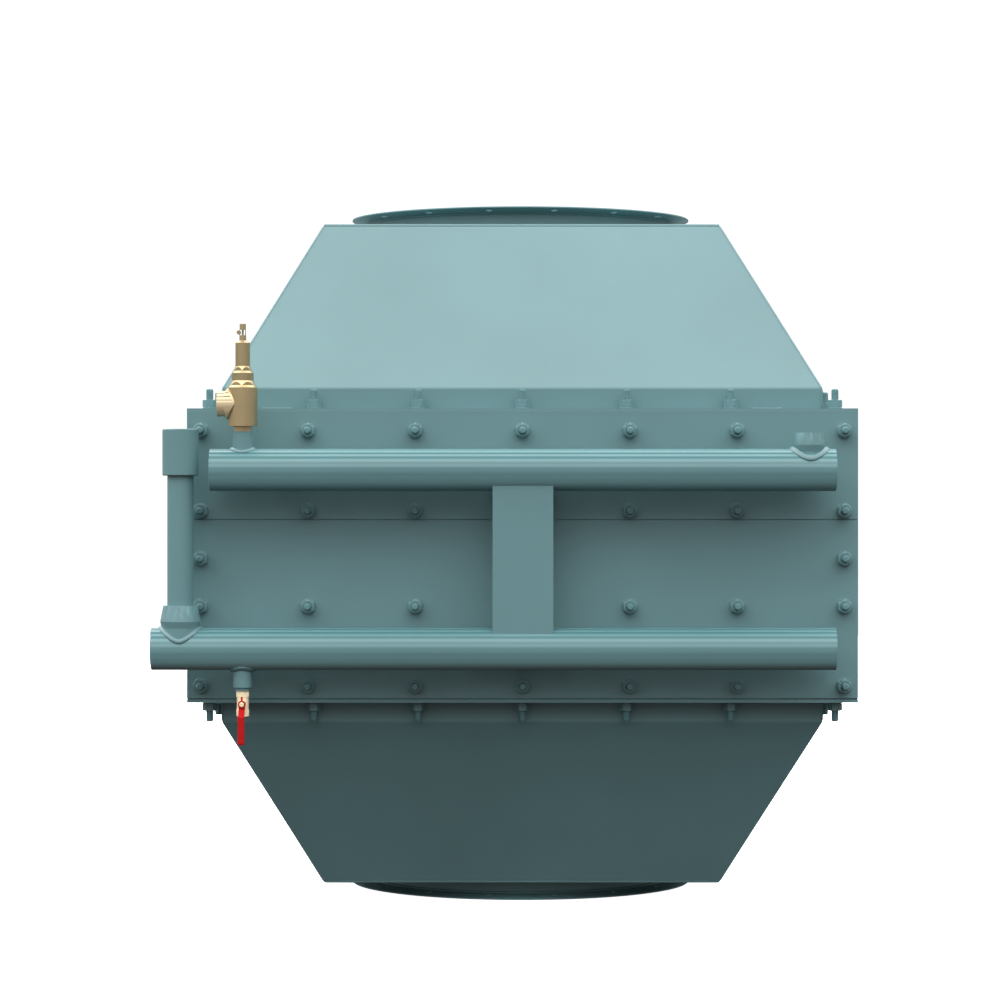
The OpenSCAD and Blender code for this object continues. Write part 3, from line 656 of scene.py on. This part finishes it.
# Steps of the rounding at a stud's tip: in from the thread's crest, and down from the end
tip_rounding = ((thread_depth, 0.0026), (0.0012, 0.0014), (0.0020, 0.0003), (0.0030, 0.0))
nut_flats = 0.027
nut_base = 0.0035
nut_top = 0.0195
flange_washer_radius = 0.0155
cover_washer_radius = 0.017
washer_chamfer = 0.0006


def stud_with_nut(studs, nuts, washers, place, washer, nut_turn):
    """Threaded stud end with a nut on a washer, standing on local Z = 0."""
    crest, root = stud_radius, stud_radius - thread_depth
    thread(studs, place, crest, root, stud_pitch, nut_top - thread_overlap, stud_reach - tip_rounding[0][1])
    tip = [(crest - inward, stud_reach - down) for inward, down in tip_rounding]
    turned(studs, place, tip + [(0, stud_reach)], sides=16)
    hex_nut(nuts, place @ Matrix.Rotation(nut_turn, 4, "Z"), nut_flats, crest, nut_base, nut_top)
    turned(washers, place, [(crest, 0), (washer, 0), (washer, nut_base - washer_chamfer),
                            (washer - washer_chamfer, nut_base), (crest, nut_base)], sides=32)


def bolt_pieces(prefix, places, washer, nut_turn, stands_for=()):
    """The studs, nuts and washers at these placements, as three pieces."""
    studs, nuts, washers = bmesh.new(), bmesh.new(), bmesh.new()
    for place in places:
        stud_with_nut(studs, nuts, washers, place, washer, nut_turn)
    for part, form, finish, crease in (("threads", studs, stud_paint, turned_crease),
                                       ("nuts", nuts, bolting_wear_and_highlight_paint, nut_crease),
                                       ("washers", washers, bolting_wear_and_highlight_paint, turned_crease)):
        finish_piece(f"{prefix}_{part}", form, finish, stands_for=stands_for, crease=crease)


# A square of studs through each hood's flange, seven to a side
gauge_line = rim - 0.045
gauge = spread(-gauge_line, gauge_line, 7)
gauge_ends = (gauge[0], gauge[-1])
flange_spots = [(x, y) for x in gauge for y in gauge if x in gauge_ends or y in gauge_ends]
for name, z, direction in (("upper_flange", flange_top, UP), ("lower_flange", flange_bottom, DOWN)):
    bolt_pieces(name, [facing(x, y, z, direction) for x, y in flange_spots], flange_washer_radius, pi / 6)

# Four rows of seven studs through each pair of covers, with one more at either end between the headers
cover_line = rim - 0.0302
row_under_top = 0.0409
row_over_foot = 0.0258
row_from_header = 0.0865
side_stud_drop = 0.0065
cover_columns = spread(-cover_line, cover_line, 7)
cover_rows = (upper_cover[1].z - row_under_top, upper_header.z - row_from_header,
              lower_header.z + row_from_header, lower_cover[0].z + row_over_foot)
cover_spots = [(x, z) for x in cover_columns for z in cover_rows]
cover_spots += [(x, mid_height - side_stud_drop) for x in (-cover_line, cover_line)]
for side, name in ((-1, "front_cover"), (1, "rear_cover")):
    bolt_pieces(name, [facing(x, side * cover_face, z, (0, side, 0)) for x, z in cover_spots],
                cover_washer_radius, 0.0, stands_for=(name + "_studs",))

# ---------------------------------------------------------------- weld beads


def finish_bead(name, form, material=weld_paint):
    """Turns a bmesh of weld beads into a piece."""
    finish_piece(name, form, material, crease=bead_crease)


def saddle_weld(form, header, x, branch_radius, branch, half_width, rise, count):
    """The bead where a round branch leaves a header."""
    sideways = branch.cross(Vector((1, 0, 0)))
    points, outward = [], []
    for i in range(count):
        angle = 2 * pi * i / count
        off_axis = branch_radius * sin(angle)
        away = (sideways * off_axis + branch * sqrt(header.radius ** 2 - off_axis ** 2)) / header.radius
        points.append(Vector((x + branch_radius * cos(angle), header.y, header.z)) + away * header.radius)
        clear = Vector((cos(angle), 0, 0)) + sideways * sin(angle)
        outward.append((away * 1.6 + clear).normalized())
    bead(form, points, outward, half_width, rise, closed=True, sides=12)


def branch_weld(name, node, header, branch, radius, half_width, rise, count):
    """The saddle bead of one upright branch, as a piece."""
    form = bmesh.new()
    saddle_weld(form, header, upright_axis(node)[0], radius, branch, half_width, rise, count)
    finish_bead(name, form)


def straight_weld(form, start, end, outward, half_width, rise, step=0.002, ripple=0.10):
    """A straight bead between two points, raised along outward."""
    steps = max(2, int((end - start).length / step))
    points = [start.lerp(end, i / steps) for i in range(steps + 1)]
    bead(form, points, [outward] * len(points), half_width, rise, sides=8, ripple=ripple)


def round_weld(form, level, radius, outward, half_width, rise, count=360):
    """A bead round the flue's axis; outward gives its shares away from the axis and up."""
    points, directions = [], []
    for i in range(count):
        away = Vector((cos(2 * pi * i / count), sin(2 * pi * i / count), 0))
        points.append(away * radius + UP * level)
        directions.append((away * outward[0] + UP * outward[1]).normalized())
    bead(form, points, directions, half_width, rise, closed=True, sides=8)


branch_weld("outlet_weld", "outlet_fitting", upper_header, UP,
            radius=0.0375, half_width=0.0066, rise=0.0042, count=216)
branch_weld("inlet_weld", "inlet_fitting", lower_header, UP,
            radius=0.0410, half_width=0.0052, rise=0.0040, count=216)
branch_weld("relief_weld", "relief_coupling", upper_header, UP,
            radius=0.0235, half_width=0.0046, rise=0.0034, count=144)
branch_weld("drain_weld", "drain_coupling", lower_header, DOWN,
            radius=0.0220, half_width=0.0052, rise=0.0044, count=144)

for name, header in (("upper_stub", upper_header), ("lower_stub", lower_header)):
    low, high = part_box(name + "s")
    stub_radius = (high.z - low.z) / 2
    form = bmesh.new()
    for x in spread(low.x + stub_radius, high.x - stub_radius, tube_columns):
        saddle_weld(form, header, x, stub_radius, REARWARD, half_width=0.0035, rise=0.0035, count=48)
    finish_bead(name + "_welds", form)

# Stitch welds between the hoods' skirts and the bolting flanges, two to a side
stitch_length = 0.067
stitch_inset = 0.085
stitch_size = 0.0036
for name, level, up in (("upper_stitch_welds", flange_top, UP), ("lower_stitch_welds", flange_bottom, DOWN)):
    form = bmesh.new()
    for turn in range(4):
        side = Matrix.Rotation(pi / 2 * turn, 3, "Z")
        outward = (side @ Vector((0, -1, 0)) + up).normalized()
        for end in (-1, 1):
            start, finish = (side @ Vector((end * (skirt - inset), -skirt, 0)) + UP * level
                             for inset in (stitch_inset, stitch_inset + stitch_length))
            straight_weld(form, start, finish, outward, stitch_size, stitch_size)
    finish_bead(name, form)

# Paint that bridges the joints between the upper covers and the flange over them
joint_level = upper_cover[1].z + 0.0003
joint_end = rim - 0.001
joint_half = 0.0008
joint_rise = 0.0002
form = bmesh.new()
for side in (-1, 1):
    start, finish = (Vector((x, side * cover_face, joint_level)) for x in (-joint_end, joint_end))
    straight_weld(form, start, finish, Vector((0, side, 0)), joint_half, joint_rise, step=0.02, ripple=0.0)
finish_bead("upper_joint_paint", form, material=finishes["casing_paint"])

# Fillets of the flue collars, against the ring and the end plate
collar_radius = (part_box("upper_collar")[1].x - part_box("upper_collar")[0].x) / 2
ring_fillet = 0.0030
plate_fillet = 0.0035
for name, ring_face, plate_face, up in (
        ("upper_collar_welds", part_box("upper_ring")[0].z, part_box("upper_end_plate")[1].z, 1),
        ("lower_collar_welds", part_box("lower_ring")[1].z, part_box("lower_end_plate")[0].z, -1)):
    form = bmesh.new()
    round_weld(form, ring_face, collar_radius, (1, -up), ring_fillet, ring_fillet)
    round_weld(form, plate_face, collar_radius, (1, up), plate_fillet, plate_fillet)
    finish_bead(name, form)

# Corner and edge seams of the hoods, ground nearly flush
plate_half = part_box("upper_end_plate")[1].x
seam_rise = 0.0012
edge_seam_half = 0.0032
corner_seam_half = 0.0028


def level_of_skirt(node):
    """Height at which a hood's upright skirt turns into its slope: its level furthest from the core."""
    levels = [vert.co.z for vert in nodes[node].data.vertices if abs(vert.co.y + skirt) < 1e-4]
    return max(levels, key=lambda z: abs(z - mid_height))


def ground_seam(form, start, end, outward, half_width):
    """A seam between two points, ground nearly flush."""
    straight_weld(form, start, end, outward, half_width, seam_rise, step=0.004, ripple=0.04)


for name, plate, hood, up, base_level in (
        ("upper_hood_seams", "upper_end_plate", "upper_hood_front", UP, flange_top),
        ("lower_hood_seams", "lower_end_plate", "lower_hood_front", DOWN, flange_bottom)):
    plate_low, plate_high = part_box(plate)
    edge_level = (plate_low.z + plate_high.z) / 2
    turn_level = level_of_skirt(hood)
    form = bmesh.new()
    for turn in range(4):
        side = Matrix.Rotation(pi / 2 * turn, 3, "Z")
        outward = (side @ Vector((0, -1, 0)) + up * 0.3).normalized()
        corner = side @ Vector((-1, -1, 0)).normalized()
        left, right = (side @ Vector((end * plate_half, -plate_half, 0)) + UP * edge_level for end in (-1, 1))
        base, foot = (side @ Vector((-skirt, -skirt, 0)) + UP * level for level in (base_level, turn_level))
        ground_seam(form, left, right, outward, edge_seam_half)
        ground_seam(form, foot, left, corner, corner_seam_half)
        ground_seam(form, base, foot, corner, corner_seam_half)
    finish_bead(name, form, material=finishes["casing_paint"])

# ---------------------------------------------------------------- flue rings

ring_edge = 0.0028
ring_chamfer = 0.0010
ring_bore = collar_radius + 0.0003
# Steps of the ring's back, from its thin edge in to the collar
edge_step = (0.0040, 0.0018)
collar_step = (0.0060, 0.0012)
bolt_circle = mount_named("upper_flue_bolts")["dims"]
bolt_reach = bolt_circle["pcd_mm"] / 2000
hole_radius = bolt_circle["hole_r_mm"] / 1000
hole_chamfer = 0.0006
drill_reach = 0.002


def drilled(blank, cutters, name):
    """A closed form with these closed forms cut out of it, as a new bmesh."""
    pair = []
    for part, form in (("blank", blank), ("cutters", cutters)):
        bmesh.ops.recalc_face_normals(form, faces=form.faces)
        mesh = bpy.data.meshes.new(f"{name}_{part}")
        form.to_mesh(mesh)
        form.free()
        piece = bpy.data.objects.new(f"{name}_{part}", mesh)
        scene.collection.objects.link(piece)
        pair.append(piece)
    cut = pair[0].modifiers.new("drill", "BOOLEAN")
    cut.operation = "DIFFERENCE"
    cut.solver = "EXACT"
    cut.object = pair[1]
    result = bmesh.new()
    result.from_object(pair[0], bpy.context.evaluated_depsgraph_get())
    for piece in pair:
        mesh = piece.data
        bpy.data.objects.remove(piece)
        bpy.data.meshes.remove(mesh)
    return result


for name in ("upper_ring", "lower_ring"):
    ring_low, ring_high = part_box(name)
    outer = ring_high.x
    thickness = ring_high.z - ring_low.z
    face, out = (ring_high.z, UP) if ring_low.z > mid_height else (ring_low.z, DOWN)
    blank = bmesh.new()
    profile = [(ring_bore, -ring_chamfer), (ring_bore + ring_chamfer, 0),
               (outer - ring_chamfer, 0), (outer, -0.8 * ring_chamfer),
               (outer, -ring_edge), (outer - edge_step[0], -ring_edge - edge_step[1]),
               (ring_bore + collar_step[0], -thickness + collar_step[1]), (ring_bore, -thickness)]
    turned(blank, facing(0, 0, face, out), profile, sides=240, closed=True)
    holes = bmesh.new()
    for i in range(bolt_circle["count"]):
        angle = 2 * pi * (i + 0.5) / bolt_circle["count"]
        flare = hole_radius + hole_chamfer
        turned(holes, facing(bolt_reach * cos(angle), bolt_reach * sin(angle), face, out), [
            (0, drill_reach), (flare, drill_reach), (flare, 0.0), (hole_radius, -hole_chamfer),
            (hole_radius, -thickness - drill_reach), (0, -thickness - drill_reach)], sides=32)
    finish_piece(name + "_drilled", drilled(blank, holes, name), finishes["casing_paint"],
                 stands_for=(name,))

# ---------------------------------------------------------------- threads in the open ports

port_thread_height = 0.0011
port_thread_root = 0.0003
port_foot_gap = 0.001
port_mouth_gap = 0.0025
pipe_pitch = 0.0022
drain_pitch = 0.0018
for port, node, pitch in (("water_inlet", "riser_coupling", pipe_pitch),
                          ("water_outlet", "outlet_fitting", pipe_pitch),
                          ("relief_outlet", "relief_body", pipe_pitch),
                          ("drain_outlet", "drain_valve", drain_pitch)):
    mount = mount_named(port)
    axis_out = Vector(mount["axis"])
    bore = mount["dims"]["r_mm"] / 1000
    length = mount["dims"]["length_mm"] / 1000
    low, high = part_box(node)
    mouth = Vector(mount["pos_m"])
    for i, share in enumerate(axis_out):
        if abs(share) > 0.5:
            mouth[i] = high[i] if share > 0 else low[i]
    form = bmesh.new()
    thread(form, facing(*mouth, axis_out), bore - port_thread_height, bore + port_thread_root, pitch,
           port_foot_gap - length, -port_mouth_gap, sides=36)
    slot = nodes[node].data.materials[0].name
    finish_piece(port + "_thread", form, finishes[slot])

# ---------------------------------------------------------------- drain valve's stem

stem_low, stem_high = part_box("drain_stem")
stem_place = facing((stem_low.x + stem_high.x) / 2, stem_high.y, (stem_low.z + stem_high.z) / 2, (0, -1, 0))
stem_length = stem_high.y - stem_low.y
stem_radius = 0.0034
shank_radius = 0.0044
slot_depth = 0.0030
slot_bottom = stem_length - slot_depth
stem_nut_flats = 0.0092
stem_nut_height = 0.0052
stem_nut_base = slot_bottom - stem_nut_height
shank_end = stem_nut_base - 0.004
stem_start = stem_nut_base - 0.003
lobe_overlap = 0.0003
# Half the angle in degrees that the slot leaves to each lobe of the stem's end
lobe_half = 78

stem = bmesh.new()
turned(stem, stem_place, [(0, 0), (shank_radius, 0), (shank_radius, shank_end), (stem_radius, stem_start),
                          (stem_radius, slot_bottom), (0, slot_bottom)], sides=24)
for side in (-1, 1):
    lobe = [(stem_radius * sin(radians(angle)), side * stem_radius * cos(radians(angle)))
            for angle in range(-lobe_half, lobe_half + 1, 12)]
    rings = [[stem.verts.new(stem_place @ Vector((x, y, height))) for x, y in lobe]
             for height in (slot_bottom - lobe_overlap, stem_length)]
    skin(stem, *rings)
    for ring in rings:
        stem.faces.new(ring)
finish_piece("drain_stem_slotted", stem, finishes["valve_brass"], body="drain_handle",
             stands_for=("drain_stem",))
nut = bmesh.new()
hex_nut(nut, stem_place, stem_nut_flats, stem_radius, stem_nut_base, slot_bottom)
finish_piece("drain_stem_nut", nut, finishes["valve_brass"], body="drain_handle",
             stands_for=("drain_stem",), crease=nut_crease)

# ---------------------------------------------------------------- finned tubes

tube_radius = 0.0254 / 2
tube_bore = tube_radius * 0.8
tube_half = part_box("tubes_top_row")[1].y
fin_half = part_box("side_walls")[1].y - 0.008
fin_count = int(2 * fin_half / fin_pitch)
fin_thickness = 0.0014
fin_rounding = 0.0002


def finned_row(node):
    """One row of tubes with their welded plate fins, as two pieces."""
    low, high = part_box(node)
    fin_radius = (high.z - low.z) / 2
    level = (low.z + high.z) / 2
    columns = spread(low.x + fin_radius, high.x - fin_radius, tube_columns)
    profile = [(tube_bore, -tube_half), (tube_radius, -tube_half), (tube_radius, -fin_half)]
    for i in range(fin_count):
        start = -fin_half + (i + 0.5) * fin_pitch
        profile += [(tube_radius, start), (fin_radius, start + fin_rounding),
                    (fin_radius, start + fin_thickness - fin_rounding), (tube_radius, start + fin_thickness)]
    profile += [(tube_radius, tube_half), (tube_bore, tube_half)]
    halfway = tube_columns // 2
    for half, part in ((columns[:halfway], "left"), (columns[halfway:], "right")):
        form = bmesh.new()
        for x in half:
            turned(form, facing(x, 0, level, REARWARD), profile, sides=14)
        finish_piece(f"{node}_{part}", form, fin_steel, stands_for=(node,))


finned_row("tubes_top_row")
finned_row("tubes_bottom_row")

# ---------------------------------------------------------------- finishes on the frame's own pieces

for node in nodes.values():
    slot = node.data.materials[0].name
    node.data.materials[0] = finishes[slot]
for name in ("upper_header", "lower_header", "header_caps"):
    nodes[name].data.materials[0] = header_paint
nodes["relief_body"].data.materials[0] = relief_bronze
# The fittings' tapers carry draw marks with painted highlight streaks
for name, taper in (("inlet_fitting", 0.033), ("outlet_fitting", 0.026)):
    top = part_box(name)[1].z
    nodes[name].data.materials[0] = paint(name + "_finish", teal, 0.34, forged=(top - taper, top))

# ---------------------------------------------------------------- camera, floor and light

camera_data = bpy.data.cameras.new("camera")
camera_data.lens = 119.35
camera_data.sensor_width = 36.0
camera = bpy.data.objects.new("camera", camera_data)
camera.location = (-0.048, -7.788, 0.8925)
camera.rotation_euler = (radians(90), 0, 0)
scene.collection.objects.link(camera)
scene.camera = camera

floor_half = 14.0
floor_form = bmesh.new()
bmesh.ops.create_grid(floor_form, x_segments=2, y_segments=2, size=floor_half)
floor_mesh = bpy.data.meshes.new("floor")
floor_form.to_mesh(floor_mesh)
floor_form.free()
floor_mesh.materials.append(studio_floor("floor_finish"))
floor = bpy.data.objects.new("floor", floor_mesh)
scene.collection.objects.link(floor)
# The floor shows white and leaves the light that reaches the object to the dome
for rays in ("visible_diffuse", "visible_glossy", "visible_transmission", "visible_shadow"):
    setattr(floor, rays, False)

# Bands of the dome of soft light: elevation in degrees, radiance, and how warm the light is there
sky_bands = ((-80, 0.22, 0.30), (-50, 0.06, 0.30), (-12, 0.10, 0.20), (10, 0.62, 0.0), (30, 2.30, 0.0),
             (52, 4.10, 0.0), (80, 1.30, 0.0))
brightest = 5.0
lean_left = 0.147
lean_front = 0.085
backdrop = 1.06

world = bpy.data.worlds.new("studio")
scene.world = world
world.use_nodes = True
sky = world.node_tree
background = sky.nodes["Background"].inputs
ray = split(sky, add(sky, "ShaderNodeTexCoord")["Generated"])
elevation = product(sky, maths(sky, "ARCSINE", ray["Z"]), 2 / pi)
dome = sky.nodes.new("ShaderNodeValToRGB")
feed(sky, dome.inputs["Fac"], between(sky, elevation, -1.0, 1.0))
for index, (angle, radiance, warmth) in enumerate(sky_bands):
    position = (angle + 90) / 180
    stop = dome.color_ramp.elements[index] if index < 2 else dome.color_ramp.elements.new(position)
    stop.position = position
    share = radiance / brightest
    stop.color = (share, share * (1 - warmth), share * (1 - 1.1 * warmth), 1.0)
lean = total(sky, 1.0, product(sky, ray["X"], -lean_left), product(sky, ray["Y"], -lean_front))
behind_object = add(sky, "ShaderNodeLightPath")["Is Camera Ray"]
lighting = product(sky, lean, brightest, maths(sky, "SUBTRACT", 1.0, behind_object))
feed(sky, background["Strength"], total(sky, lighting, product(sky, behind_object, backdrop)))
feed(sky, background["Color"], blend_colours(sky, behind_object, dome.outputs["Color"], (1.0, 1.0, 1.0, 1.0)))
scene.view_settings.view_transform = "Standard"
